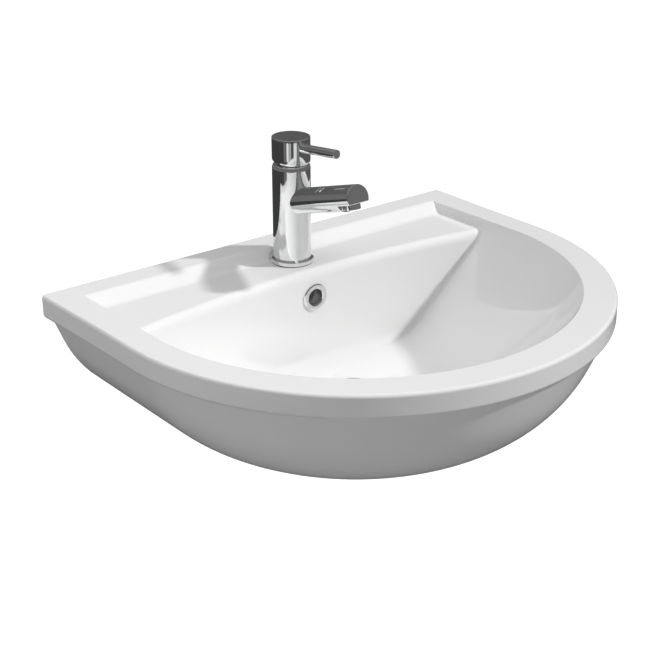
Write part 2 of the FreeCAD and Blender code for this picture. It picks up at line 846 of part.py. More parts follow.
def washer_top():
    return deck_z - deck_thickness


def make_rubber_washer():
    return horseshoe(horseshoe_diameter / 2, washer_top() - rubber_washer_thickness, washer_top(),
                     stud_radius + seat_gap)


def make_clamp_plate():
    high = washer_top() - rubber_washer_thickness
    radius = horseshoe_diameter / 2 - clamp_inset
    return horseshoe(radius, high - clamp_thickness, high, stud_radius + seat_gap)


def make_stud():
    high = at_tap(-spigot_depth + stud_grip) - seat_gap
    return rod(stud_radius, high - stud_length, high, (0, tap_y + stud_offset))


def make_stud_nut():
    high = washer_top() - rubber_washer_thickness - clamp_thickness
    centre = (0, tap_y + stud_offset)
    nut = hexagon(stud_nut_flats, high - stud_nut_height, high, centre)
    return nut.cut(rod(stud_radius + thread_gap, high - stud_nut_height - over, high + over, centre))


# Waste


def at_waste(*shapes):
    for shape in shapes:
        shape.translate(Vector(0, bowl_centre, 0))
    return shapes[0] if len(shapes) == 1 else shapes


def flange_low():
    return waste_seat() + waste_seal_thickness


def bridge_top():
    return flange_low() - bridge_drop


def make_waste_body():
    """Chromed waste: flange, slotted tail and a bridge for the plug."""
    low = flange_low() - waste_length
    high = flange_low() + waste_flange_thickness
    bore, tail, flange = waste_bore_diameter / 2, waste_tail_diameter / 2, waste_flange_diameter / 2
    groove, groove_low = tail - waste_groove_depth, low + waste_outlet_length
    groove_top = groove_low + waste_groove_width
    shell = turned([(bore, low), (tail, low), (tail, groove_low), (groove, groove_low),
                    (groove, groove_top), (tail, groove_top), (tail, flange_low()), (flange, flange_low()),
                    (flange, high, waste_flange_thickness * waste_flange_fullness), (bore, high)])
    duct_top, duct_floor = duct_levels()[:2]
    middle = (duct_top + duct_floor) / 2
    half_height = waste_slot_height / 2
    slots = []
    for k in range(waste_slot_count):
        slot = block((0, -waste_slot_width / 2, middle - half_height),
                     (waste_tail_diameter, waste_slot_width / 2, middle + half_height))
        slot.rotate(Vector(0, 0, 0), up, 90 + 360 * k / waste_slot_count)
        slots.append(slot)
    shell = shell.cut(slots)
    bridge_low = bridge_top() - bridge_thickness
    arm = block((-bore - over, -bridge_width / 2, bridge_low),
                (bore + over, bridge_width / 2, bridge_top()))
    hub = rod(bridge_hub_radius, bridge_low, bridge_top())
    screw_hole = rod(plug_screw_radius + thread_gap, bridge_low - over, bridge_top() + over)
    return at_waste(shell.fuse([arm, hub]).cut(screw_hole))


def make_waste_top_seal():
    low = waste_seat()
    outer, inner = waste_flange_diameter / 2 - waste_seal_inset, waste_tail_diameter / 2 + seat_gap
    return at_waste(tube(outer, inner, low, low + waste_seal_thickness))


def under_boss():
    return foot_z + waste_boss_rise


def make_waste_bottom_seal():
    high = under_boss()
    outer, inner = waste_washer_diameter / 2 + waste_bottom_seal_margin, waste_tail_diameter / 2 + seat_gap
    return at_waste(tube(outer, inner, high - waste_bottom_seal_thickness, high))


def make_waste_washer():
    high = under_boss() - waste_bottom_seal_thickness
    return at_waste(tube(waste_washer_diameter / 2, waste_tail_diameter / 2 + seat_gap,
                         high - waste_washer_thickness, high))


def make_backnut():
    high = under_boss() - waste_bottom_seal_thickness - waste_washer_thickness
    nut = hexagon(backnut_across_flats, high - backnut_thickness, high, (0, 0))
    hole = rod(waste_tail_diameter / 2 + thread_gap, high - backnut_thickness - over, high + over)
    return at_waste(nut.cut(hole))


# Click plug


def plug_seal_low():
    return flange_low() + waste_flange_thickness + seat_gap


def plug_low():
    return plug_seal_low() + plug_seal_thickness


def make_plug_cap():
    """Domed plug with a boss for the stem."""
    radius = plug_diameter / 2
    low, edge = plug_low(), plug_low() + plug_thickness - plug_crown
    rise = plug_crown
    crown_radius = (radius ** 2 + rise ** 2) / (2 * rise)
    dome = rod(radius, low, edge + rise)
    dome = dome.common(Part.makeSphere(crown_radius, Vector(0, 0, edge + rise - crown_radius)))
    boss = rod(plug_boss_radius, low - plug_boss_height, low + over)
    hole = rod(plug_stem_radius + thread_gap, low - plug_boss_height - over, low + over)
    return at_waste(dome.fuse(boss).cut(hole))


def make_plug_seal():
    inner = plug_seal_inner / 2
    return at_waste(tube(inner + plug_seal_width, inner, plug_seal_low(), plug_low()))


def sleeve_floor():
    return bridge_top() + bridge_thickness / 2


def make_plug_stem():
    return at_waste(rod(plug_stem_radius, sleeve_floor() + seat_gap, plug_low() + over))


def make_plug_sleeve():
    """Click unit: a sleeve screwed into the bridge, in which the stem slides."""
    sleeve = rod(plug_sleeve_radius, bridge_top(), bridge_top() + plug_sleeve_length)
    screw = rod(plug_screw_radius, bridge_top() - bridge_thickness, bridge_top() + over)
    bore = rod(plug_stem_radius + running_gap, sleeve_floor(), bridge_top() + plug_sleeve_length + over)
    return at_waste(sleeve.fuse(screw).cut(bore))


nodes = {
    "basin": make_basin,
    "overflow_ring": make_overflow_ring,
    "tap_body": make_tap_body,
    "tap_base_seal": make_base_seal,
    "tap_base_ring": make_base_ring,
    "aerator_housing": make_aerator_housing,
    "aerator_insert": make_aerator_insert,
    "aerator_seal": make_aerator_seal,
    "cartridge_seal": make_cartridge_seal,
    "cartridge_housing": make_cartridge_housing,
    "cartridge_fixed_disc": make_fixed_disc,
    "cartridge_moving_disc": make_moving_disc,
    "cartridge_disc_carrier": make_disc_carrier,
    "cartridge_rotor": make_rotor,
    "cartridge_pivot_pin": make_pivot_pin,
    "cartridge_stem": make_stem,
    "cartridge_nut": make_cartridge_nut,
    "handle_cap": make_handle_cap,
    "handle_lever": make_lever,
    "handle_grub_screw": make_grub_screw,
    "handle_index_plug": make_index_plug,
    "tap_rubber_washer": make_rubber_washer,
    "tap_clamp_plate": make_clamp_plate,
    "tap_fixing_stud": make_stud,
    "tap_fixing_nut": make_stud_nut,
    "waste_body": make_waste_body,
    "waste_top_seal": make_waste_top_seal,
    "waste_bottom_seal": make_waste_bottom_seal,
    "waste_slip_washer": make_waste_washer,
    "waste_backnut": make_backnut,
    "plug_cap": make_plug_cap,
    "plug_seal": make_plug_seal,
    "plug_stem": make_plug_stem,
    "plug_sleeve": make_plug_sleeve,
}

os.makedirs("parts", exist_ok=True)
for name, make in nodes.items():
    solid, = make().Solids
    solid.exportStep("parts/" + name + ".step")
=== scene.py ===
"""Looks of a D-shaped wash basin with a single-lever mixer tap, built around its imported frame."""

import json
from functools import partial
from math import asin, atan2, copysign, cos, hypot, pi, radians, sin, sqrt, tan

import bmesh
import bpy
from bpy.props import FloatProperty, FloatVectorProperty, IntProperty, PointerProperty
from bpy.types import Operator, Panel, PropertyGroup
from mathutils import Matrix, Vector
from mathutils.bvhtree import BVHTree


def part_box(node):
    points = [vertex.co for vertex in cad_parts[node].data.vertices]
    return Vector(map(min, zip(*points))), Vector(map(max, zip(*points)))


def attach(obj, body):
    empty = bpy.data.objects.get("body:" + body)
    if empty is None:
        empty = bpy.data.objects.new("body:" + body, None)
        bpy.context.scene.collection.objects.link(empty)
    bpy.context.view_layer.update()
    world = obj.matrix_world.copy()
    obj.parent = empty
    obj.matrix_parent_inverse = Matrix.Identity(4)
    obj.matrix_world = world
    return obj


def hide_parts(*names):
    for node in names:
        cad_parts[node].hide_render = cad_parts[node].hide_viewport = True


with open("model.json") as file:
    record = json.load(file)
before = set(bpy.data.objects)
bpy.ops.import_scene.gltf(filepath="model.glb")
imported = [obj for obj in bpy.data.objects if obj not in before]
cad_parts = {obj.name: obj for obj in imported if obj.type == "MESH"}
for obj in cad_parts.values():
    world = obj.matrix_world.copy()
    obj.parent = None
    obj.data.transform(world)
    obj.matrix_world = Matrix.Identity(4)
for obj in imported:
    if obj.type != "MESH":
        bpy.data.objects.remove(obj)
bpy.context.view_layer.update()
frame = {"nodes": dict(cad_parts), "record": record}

bl_info = {
    "name": "Wash basin looks",
    "version": (1, 0, 0),
    "blender": (4, 5, 0),
    "location": "View3D > Sidebar > Basin",
    "description": "Glazed basin, chrome mixer tap and click waste around a packed frame",
    "category": "Object",
}

# Facets of turned pieces and of their rounded edges
TURN_STEPS = 160
ARC_STEPS = 8
# How normals are shared between facets
SMOOTH_COSINE = cos(radians(40))
FLAT_COSINE = cos(radians(0.03))
STRIP_AREA = 2e-5
OWN_SHARE = 1e-6
# Distances within which points are the same, points are joined, and a point lies in a plane
POINT_GAP = 1e-7
JOIN_GAP = 2e-6
PLANE_GAP = 1e-6
# The rim's outer rounding, and the arc that it follows at the front
RIM_ROUND = 0.0035
RIM_ARC_Y = -0.168
RIM_SWEEP = radians(89.5)
RIM_STEPS = 11
RIM_GAP = 5e-6


def middle(node):
    """Middle of a frame node's box."""
    low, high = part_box(node)
    return (low + high) / 2


def half_width(node):
    """Half the width of a frame node's box."""
    low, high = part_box(node)
    return (high.x - low.x) / 2


UP = Vector((0, 0, 1))
SIDE = Vector((1, 0, 0))
BODY_OF = {node: body for body, nodes in frame["record"]["behaviour"]["bodies"].items() for node in nodes}
SLOT_OF = {part["node"]: part["material_slot"] for part in frame["record"]["subparts"]}
DECK_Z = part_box("tap_base_seal")[0].z
TAP_AXIS = middle("tap_base_ring")
TAP_FOOT = Vector((0, TAP_AXIS.y, DECK_Z))
WASTE_AXIS = middle("waste_backnut")


def number(name, description, default, subtype="NONE"):
    return FloatProperty(name=name, description=description, default=default, subtype=subtype)


def length(name, description, default):
    return FloatProperty(name=name, description=description, default=default, unit="LENGTH", precision=5)


def angle(name, description, degrees):
    return number(name, description, radians(degrees), "ANGLE")


def colour(name, description, default):
    return FloatVectorProperty(name=name, description=description, default=default, size=3, subtype="COLOR",
                               min=0, max=1)


class TapSizes(PropertyGroup):
    """Sizes of the mixer tap, with heights above the deck"""
    body_radius: length("Body radius", "Half the width of the upright body", half_width("handle_cap"))
    body_height: length("Body height", "Height of the body's flat top", 0.1116)
    shoulder_depth: length("Shoulder depth", "How far the body's round top edge draws in", 0.0030)
    shoulder_rise: length("Shoulder rise", "Height of the body's round top edge", 0.0052)
    nut_radius: length("Nut room", "Radius of the room for the cartridge nut", 0.01555)
    spout_radius: length("Spout radius", "Half the thickness of the spout", 0.0141)
    spout_height: length("Spout height", "Height at which the spout's axis meets the body's axis", 0.068)
    spout_angle: angle("Spout angle", "Rise of the spout from level", 16.5)
    spout_reach: length("Spout reach", "From the body's axis to the middle of the spout's end face", 0.1115)
    spout_flat: length("Spout flat", "Drop of the flat under the tip from the spout's axis", 0.00575)
    flat_length: length("Flat length", "How far the flat under the tip runs back from the aerator", 0.020)
    foot_ring_edge: length("Ring edge", "Height of the foot ring's outer edge", 0.005)
    spout_bevel: length("Spout bevel", "Width of the bevel round the spout's end face", 0.0007)
    cap_gap: length("Cap gap", "Gap between the body's top and the handle cap on the axis", 0.0020)
    cap_edge: length("Cap edge", "Rounding of the cap's lower edge", 0.0030)
    cap_rake: angle("Cap rake", "Slope of the cap's lower edge", 5.5)
    cap_wall: length("Cap wall", "Wall of the hollow cap", 0.0035)
    cap_hollow: length("Cap hollow", "Height of the cap's hollow over the body's top", 0.0074)
    edge_round: length("Edge round", "Rounding of polished edges", 0.001)
    lever_radius: length("Lever radius", "Half the thickness of the lever", 0.0048)
    lever_height: length("Lever height", "Height at which the lever's axis meets the tap's axis", 0.1297)
    lever_angle: angle("Lever angle", "Rise of the lever from level", 6.5)
    lever_reach: length("Lever reach", "From the tap's axis to the lever's end", 0.0772)
    aerator_radius: length("Aerator radius", "Half the width of the aerator", 0.008)
    aerator_back: length("Aerator back", "From the spout's end to the aerator's axis", 0.011)
    bar_pitch: length("Bar pitch", "Spacing of the bars in the aerator", 0.0016)
    bar_count: IntProperty(name="Bars", description="Bars each way in the aerator", default=5, min=2)


class WasteSizes(PropertyGroup):
    """Sizes of the waste and of the threads below the basin"""
    tail_radius: length("Tail radius", "Half the width of the threaded tail", 0.02095)
    tail_pitch: length("Tail pitch", "Spacing of the tail's thread ridges", 0.0023)
    stud_radius: length("Stud radius", "Half the width of the fixing stud", 0.004)
    stud_pitch: length("Stud pitch", "Spacing of the stud's thread ridges", 0.00125)
    ridge_depth: length("Ridge depth", "Half the height of a thread ridge", 0.0004)
    plug_crown: length("Plug crown", "Rise of the plug's dome", 0.0015)


class Finishes(PropertyGroup):
    """Colours of the finishes"""
    glaze: colour("Glaze", "White glaze on the basin", (0.88, 0.88, 0.878))
    raw: colour("Raw ceramic", "Unglazed ceramic at the back and inside the hollow", (0.74, 0.735, 0.72))
    chrome: colour("Chrome", "Polished chrome of the tap and waste", (0.90, 0.905, 0.91))
    rubber: colour("Rubber", "Black rubber of the seals", (0.022, 0.022, 0.023))
    white_plastic: colour("White plastic", "Moulded white plastic", (0.72, 0.72, 0.70))
    grey_plastic: colour("Grey plastic", "Index plug at the back of the handle", (0.30, 0.31, 0.32))
    disc_ceramic: colour("Disc ceramic", "Ground ceramic of the valve discs", (0.74, 0.71, 0.66))
    steel: colour("Steel", "Plain steel of pins, plate and stud", (0.52, 0.52, 0.51))
    brass: colour("Brass", "Machined brass of stem and fixing nut", (0.66, 0.47, 0.19))
    plated_brass: colour("Plated brass", "Nickel plate on the cartridge nut", (0.58, 0.56, 0.52))


class StageSettings(PropertyGroup):
    """Camera and light"""
    camera_place: FloatVectorProperty(name="Camera", description="Where the camera stands", size=3,
                                      default=(-0.868617, -1.20729, 0.615344), unit="LENGTH")
    azimuth: angle("Azimuth", "Turn of the camera round the basin", -38.974)
    elevation: angle("Elevation", "Height of the camera over level", 23.938)
    lens: number("Lens", "Focal length for a 36 mm sensor", 75.535)
    floor_drop: length("Floor", "Floor below the frame's origin, for a basin hung at hand height", 0.775)
    key_strength: number("Key", "Strength of the main light", 2.25)
    key_spread: angle("Key spread", "Width of the main light as the basin sees it", 3.5)
    key_rise: angle("Key rise", "Height of the main light over level", 37)
    key_turn: angle("Key turn", "Turn of the main light from straight ahead to the right", 51)
    ambient: number("Ambient", "Soft light from all round", 0.16)
    top_power: number("Top", "Power of the soft box overhead", 25, "POWER")
    left_power: number("Left", "Power of the soft box at the left", 9.5, "POWER")
    front_power: number("Front", "Power of the soft box before the basin", 3.5, "POWER")
    tent_radius: length("Tent radius", "Half the width of the grey tent that the chrome mirrors", 1.8)


# Mesh helpers


def rounded(corners):
    """Profile points (r, z) from corners (r, z) or (r, z, radius), with an arc where a radius is given."""
    points = []
    count = len(corners)
    for k, corner in enumerate(corners):
        here = Vector(corner[:2])
        if len(corner) == 2:
            points.append(here)
            continue
        before = (Vector(corners[k - 1][:2]) - here).normalized()
        after = (Vector(corners[(k + 1) % count][:2]) - here).normalized()
        half_turn = before.angle(after) / 2
        centre = here + (before + after).normalized() * (corner[2] / sin(half_turn))
        tangent = corner[2] / tan(half_turn)
        start, end = here + before * tangent - centre, here + after * tangent - centre
        sweep = start.angle_signed(end)
        for n in range(ARC_STEPS + 1):
            points.append(centre + Matrix.Rotation(-sweep * n / ARC_STEPS, 2) @ start)
    return points


def turned(corners, steps=TURN_STEPS):
    """Closed surface turned from a closed profile about Z, as a bmesh."""
    points = rounded(corners)
    made = bmesh.new()
    rings = []
    for point in points:
        if abs(point.x) < POINT_GAP:
            rings.append([made.verts.new((0, 0, point.y))] * steps)
            continue
        rings.append([made.verts.new((point.x * cos(2 * pi * k / steps),
                                      point.x * sin(2 * pi * k / steps), point.y))
                      for k in range(steps)])
    for ring, following in zip(rings, rings[1:] + rings[:1]):
        for k in range(steps):
            loop = [ring[k], ring[(k + 1) % steps], following[(k + 1) % steps], following[k]]
            corners_left = list(dict.fromkeys(loop))
            if len(corners_left) > 2:
                made.faces.new(corners_left)
    bmesh.ops.remove_doubles(made, verts=made.verts, dist=POINT_GAP)
    bmesh.ops.recalc_face_normals(made, faces=made.faces)
    return made


def along(origin, direction):
    """Placement that turns local Z to a direction in the tap's middle plane."""
    turn = Matrix((SIDE, direction.cross(SIDE), direction)).transposed().to_4x4()
    return Matrix.Translation(origin) @ turn


def forwards(lean):
    """Direction that runs forwards from the tap and rises by an angle."""
    return Vector((0, -cos(lean), sin(lean)))


def opened(mesh):
    """Editable copy of a mesh."""
    made = bmesh.new()
    made.from_mesh(mesh)
    return made


def closed(made, mesh):
    """Writes an editable copy to a mesh and frees the copy."""
    made.to_mesh(mesh)
    made.free()
    return mesh


def linked_object(name, data):
    """New object in the scene."""
    made = bpy.data.objects.new(name, data)
    bpy.context.scene.collection.objects.link(made)
    return made


def evaluated_mesh(piece):
    """Plain mesh of a piece with its modifiers applied."""
    bpy.context.view_layer.update()
    return bpy.data.meshes.new_from_object(piece.evaluated_get(bpy.context.evaluated_depsgraph_get()))


def make_object(name, made, place=None):
    """Object at the origin whose mesh holds its place, smooth except at edges."""
    if place is not None:
        made.transform(place)
    return dress_mesh(name, closed(made, bpy.data.meshes.new(name)))


def dress_mesh(name, mesh):
    """Object with smooth shading and even normals."""
    mesh.shade_smooth()
    even_normals(mesh)
    return linked_object(name, mesh)


def even_normals(mesh):
    """Corner normals in which a flat patch outweighs the narrow strips of the roundings beside it."""
    made = opened(mesh)
    patch, areas = {}, []
    for seed in made.faces:
        if seed in patch:
            continue
        patch[seed] = len(areas)
        waiting, area = [seed], 0.0
        while waiting:
            face = waiting.pop()
            area += face.calc_area()
            for edge in face.edges:
                for other in edge.link_faces:
                    if other not in patch and other.normal.dot(face.normal) > FLAT_COSINE:
                        patch[other] = len(areas)
                        waiting.append(other)
        areas.append(area)
    shares = {vert: [(loop.face.normal, loop.calc_angle() * (1 + areas[patch[loop.face]] / STRIP_AREA))
                     for loop in vert.link_loops] for vert in made.verts}
    normals = []
    for face in made.faces:
        for vert in face.verts:
            total = face.normal * OWN_SHARE
            for normal, share in shares[vert]:
                if normal.dot(face.normal) > SMOOTH_COSINE:
                    total = total + normal * share
            normals.append(total.normalized())
    made.free()
    mesh.normals_split_custom_set(normals)


def merged_mesh(node):
    """Copy of a frame node's loose triangles, joined at their corners."""
    made = opened(frame["nodes"][node].data)
    bmesh.ops.remove_doubles(made, verts=made.verts, dist=JOIN_GAP)
    mesh = closed(made, bpy.data.meshes.new(node))
    mesh.materials.clear()
    return mesh


def settle(piece, node, material, stands_for=True):
    """Give a piece the finish if it has none, hang it on the body of the node it dresses, and hide that node
    when the piece stands for it.
    """
    if not piece.data.materials:
        piece.data.materials.append(material)
    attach(piece, BODY_OF[node])
    if stands_for:
        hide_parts(node)


def chrome_piece(name, node, made, place):
    """Chrome piece, made and placed, that stands for a frame node."""
    settle(make_object(name, made, place), node, finish("chrome"))


def dressed_copies(*rows):
    """Smooth copies that stand for frame nodes: each row has a node, the copy's name and its finish."""
    for node, name, slot in rows:
        settle(dress_mesh(name, merged_mesh(node)), node, finish(slot))


# Node trees


SOCKET_KINDS = {float: "NodeSocketFloat", int: "NodeSocketInt", tuple: "NodeSocketVector",
                type(None): "NodeSocketMaterial"}
NOWHERE = (0.0, 0.0, 0.0)


def group_named(name, make):
    """Node group of this name, made at its first use."""
    return bpy.data.node_groups.get(name) or make(name)


def new_tree(kind, name, inputs, output_kind, *outputs):
    """Node group with inputs, given as names and defaults, and outputs of one socket kind."""
    tree = bpy.data.node_groups.new(name, kind)
    for label, default in inputs.items():
        socket_kind = SOCKET_KINDS[type(default)]
        socket = tree.interface.new_socket(name=label, in_out="INPUT", socket_type=socket_kind)
        if default is not None:
            socket.default_value = default
    for label in outputs:
        tree.interface.new_socket(name=label, in_out="OUTPUT", socket_type=output_kind)
    return tree, tree.nodes.new("NodeGroupInput"), tree.nodes.new("NodeGroupOutput")


def feed(node, *by_place, **by_name):
    """Fills inputs by place, or by name with _ for spaces, from plain values or (node, output) pairs."""
    for entry, value in (*enumerate(by_place), *by_name.items()):
        socket = node.inputs[entry.replace("_", " ") if isinstance(entry, str) else entry]
        if isinstance(value, tuple) and isinstance(value[0], bpy.types.Node):
            node.id_data.links.new(value[0].outputs[value[1]], socket)
        else:
            socket.default_value = value
    return node


def add_node(tree, kind, *by_place, **by_name):
    """New node with its inputs filled."""
    return feed(tree.nodes.new(kind), *by_place, **by_name)


def maths(tree, operation, *values):
    """Result of a new math node, as a (node, output) pair."""
    made = tree.nodes.new("ShaderNodeMath")
    made.operation = operation
    return feed(made, *values), "Value"


def blank_material(name):
    """Material with an empty node tree."""
    made = bpy.data.materials.new(name)
    made.use_nodes = True
    made.node_tree.nodes.clear()
    return made


# Shader groups


def haze_group(name):
    """Soft cloudy mask and a fine height, for polish, moulding and glaze."""
    group, given, result = new_tree("ShaderNodeTree", name, {
        "Vector": NOWHERE, "Cloud scale": 20.0, "Grain scale": 400.0}, "NodeSocketFloat", "Mask", "Height")
    node, place = partial(add_node, group), (given, "Vector")
    cloud = node("ShaderNodeTexNoise", Vector=place, Scale=(given, "Cloud scale"), Detail=3.0)
    grain = node("ShaderNodeTexNoise", Vector=place, Scale=(given, "Grain scale"), Detail=2.0)
    spread = node("ShaderNodeMapRange", Value=(cloud, "Fac"), From_Min=0.3, From_Max=0.7)
    feed(result, Mask=(spread, "Result"), Height=(grain, "Fac"))
    return group


def turning_group(name):
    """Rings round an upright axis, as a lathe leaves them."""
    group, given, result = new_tree("ShaderNodeTree", name, {"Vector": NOWHERE, "Rings": 900.0},
                                    "NodeSocketFloat", "Mask")
    rings = add_node(group, "ShaderNodeTexWave", Vector=(given, "Vector"), Scale=(given, "Rings"),
                     Distortion=0.6, Detail=2.0)
    rings.wave_type, rings.rings_direction = "RINGS", "Z"
    feed(result, Mask=(rings, "Fac"))
    return group


# Finishes


def finish_material(name, base, contrast, rough, metallic=0.0, cloud=18.0, grain=500.0, bump=0.05,
                    depth=0.0002, rings=None, axis=NOWHERE, ior=1.5):
    """Principled finish whose tone, gloss and surface vary with haze and, if given, turning marks."""
    if name in bpy.data.materials:
        return bpy.data.materials[name]
    made = blank_material(name)
    node = partial(add_node, made.node_tree)
    source = node("ShaderNodeTexCoord"), "Object"
    place = node("ShaderNodeMapping", Vector=source, Location=[-v for v in axis]), "Vector"
    haze, tone = node("ShaderNodeGroup"), node("ShaderNodeMix")
    haze.node_tree, tone.data_type = group_named("Surface haze", haze_group), "RGBA"
    feed(haze, Vector=place, Cloud_scale=cloud, Grain_scale=grain)
    mask, height = (haze, "Mask"), (haze, "Height")
    if rings:
        marks = node("ShaderNodeGroup")
        marks.node_tree = group_named("Turning marks", turning_group)
        height = feed(marks, Vector=place, Rings=rings), "Mask"
        mask = maths(made.node_tree, "MULTIPLY", mask, height)
    entry = {socket.identifier: socket for socket in tone.inputs}
    entry["A_Color"].default_value = (*[c * (1 - contrast) for c in base], 1)
    entry["B_Color"].default_value = (*[min(1.0, c * (1 + contrast)) for c in base], 1)
    feed(tone, mask)
    shown = [socket.identifier for socket in tone.outputs].index("Result_Color")
    gloss = node("ShaderNodeMapRange", Value=mask, To_Min=rough[0], To_Max=rough[1])
    relief = node("ShaderNodeBump", Strength=bump, Distance=depth, Height=height)
    shader = node("ShaderNodeBsdfPrincipled", Metallic=metallic, IOR=ior, Base_Color=(tone, shown),
                  Roughness=(gloss, "Result"), Normal=(relief, "Normal"))
    node("ShaderNodeOutputMaterial", Surface=(shader, "BSDF"))
    return made


def finish(slot):
    """Material for one of the record's finish slots."""
    tap, waste = tuple(TAP_AXIS), tuple(WASTE_AXIS)
    looks = {
        "glaze": dict(contrast=0.006, rough=(0.05, 0.085), cloud=7.0, grain=55.0, bump=0.03, depth=0.0004,
                      ior=1.75),
        "raw": dict(contrast=0.05, rough=(0.7, 0.85), cloud=25.0, grain=900.0, bump=0.25),
        "chrome": dict(contrast=0.01, rough=(0.025, 0.06), metallic=1.0, cloud=30.0, bump=0.01,
                       depth=0.00005),
        "rubber": dict(contrast=0.25, rough=(0.5, 0.7), cloud=60.0, grain=1500.0, bump=0.15),
        "white_plastic": dict(contrast=0.03, rough=(0.3, 0.42), grain=1200.0, bump=0.08),
        "grey_plastic": dict(contrast=0.05, rough=(0.3, 0.45), grain=1200.0, bump=0.08),
        "disc_ceramic": dict(contrast=0.03, rough=(0.3, 0.4), rings=1400.0, axis=tap, bump=0.03),
        "steel": dict(contrast=0.08, rough=(0.22, 0.4), metallic=1.0, cloud=90.0, grain=1800.0, bump=0.06),
        "brass": dict(contrast=0.08, rough=(0.18, 0.34), metallic=1.0, rings=1100.0, axis=tap, bump=0.05,
                      depth=0.0001),
        "plated_brass": dict(contrast=0.05, rough=(0.12, 0.22), metallic=1.0, rings=900.0, axis=tap,
                             bump=0.03, depth=0.0001),
        "waste_steel": dict(contrast=0.08, rough=(0.2, 0.36), metallic=1.0, rings=1200.0, axis=waste,
                            bump=0.05, depth=0.0001),
    }
    base = getattr(bpy.context.scene.basin_finishes, slot.removeprefix("waste_"))
    return finish_material("Finish " + slot.replace("_", " "), base, **looks[slot])


# Geometry node trees


def close_tree(tree, given, result, shapes):
    """End of a tree: real geometry with its material."""
    real = add_node(tree, "GeometryNodeRealizeInstances", Geometry=shapes), "Geometry"
    paint = add_node(tree, "GeometryNodeSetMaterial", Geometry=real, Material=(given, "Material"))
    feed(result, Geometry=(paint, "Geometry"))
    return tree


def ridges_tree(name):
    """Rings of a thread, one above the other."""
    tree, given, result = new_tree("GeometryNodeTree", name, {
        "Radius": 0.01, "Depth": 0.0004, "Start": NOWHERE, "Step": NOWHERE, "Count": 10, "Material": None},
        "NodeSocketGeometry", "Geometry")
    node = partial(add_node, tree)
    path = node("GeometryNodeCurvePrimitiveCircle", Resolution=64, Radius=(given, "Radius"))
    section = node("GeometryNodeCurvePrimitiveCircle", Resolution=4, Radius=(given, "Depth"))
    sweep = node("GeometryNodeCurveToMesh", Curve=(path, "Curve"), Profile_Curve=(section, "Curve"))
    line = node("GeometryNodeMeshLine", Count=(given, "Count"), Start_Location=(given, "Start"),
                Offset=(given, "Step"))
    line.mode = "OFFSET"
    place = node("GeometryNodeInstanceOnPoints", Points=(line, "Mesh"), Instance=(sweep, "Mesh"))
    return close_tree(tree, given, result, (place, "Instances"))


def grid_tree(name):
    """Two crossing rows of bars whose lengths follow a round opening."""
    tree, given, result = new_tree("GeometryNodeTree", name, {
        "Radius": 0.006, "Pitch": 0.0016, "Width": 0.0008, "Height": 0.008, "Count": 5, "Material": None},
        "NodeSocketGeometry", "Geometry")
    node, work = partial(add_node, tree), partial(maths, tree)
    pitch, count = (given, "Pitch"), (given, "Count")
    half_run = work("MULTIPLY", work("MULTIPLY", work("SUBTRACT", count, 1), -0.5), pitch)
    step, shift = node("ShaderNodeCombineXYZ", X=pitch), node("ShaderNodeCombineXYZ", X=half_run)
    line = node("GeometryNodeMeshLine", Count=count, Offset=(step, "Vector"))
    line.mode = "OFFSET"
    place = node("GeometryNodeSetPosition", Geometry=(line, "Mesh"), Offset=(shift, "Vector"))
    split = node("ShaderNodeSeparateXYZ", Vector=(node("GeometryNodeInputPosition"), "Position"))
    squared = work("SUBTRACT", work("POWER", (given, "Radius"), 2), work("POWER", (split, "X"), 2))
    size = node("ShaderNodeCombineXYZ", X=(given, "Width"), Y=work("MULTIPLY", work("SQRT", squared), 2),
                Z=(given, "Height"))
    bars = node("GeometryNodeInstanceOnPoints", Points=(place, "Geometry"), Scale=(size, "Vector"),
                Instance=(node("GeometryNodeMeshCube"), "Mesh")), "Instances"
    crossed = node("GeometryNodeTransform", Geometry=bars, Rotation=(0, 0, pi / 2))
    both = node("GeometryNodeJoinGeometry", Geometry=bars)
    feed(both, Geometry=(crossed, "Geometry"))
    return close_tree(tree, given, result, (both, "Geometry"))


def grown_mesh(name, tree, values):
    """Plain mesh made by a geometry node tree with these inputs."""
    holder = linked_object(name, bpy.data.meshes.new(name))
    grow = holder.modifiers.new("Grow", "NODES")
    grow.node_group = tree
    identifiers = {item.name: item.identifier for item in tree.interface.items_tree if item.in_out == "INPUT"}
    for label, value in values.items():
        grow[identifiers[label]] = value
    mesh = evaluated_mesh(holder)
    holder.modifiers.remove(grow)
    bpy.data.objects.remove(holder)
    return mesh


# Pieces


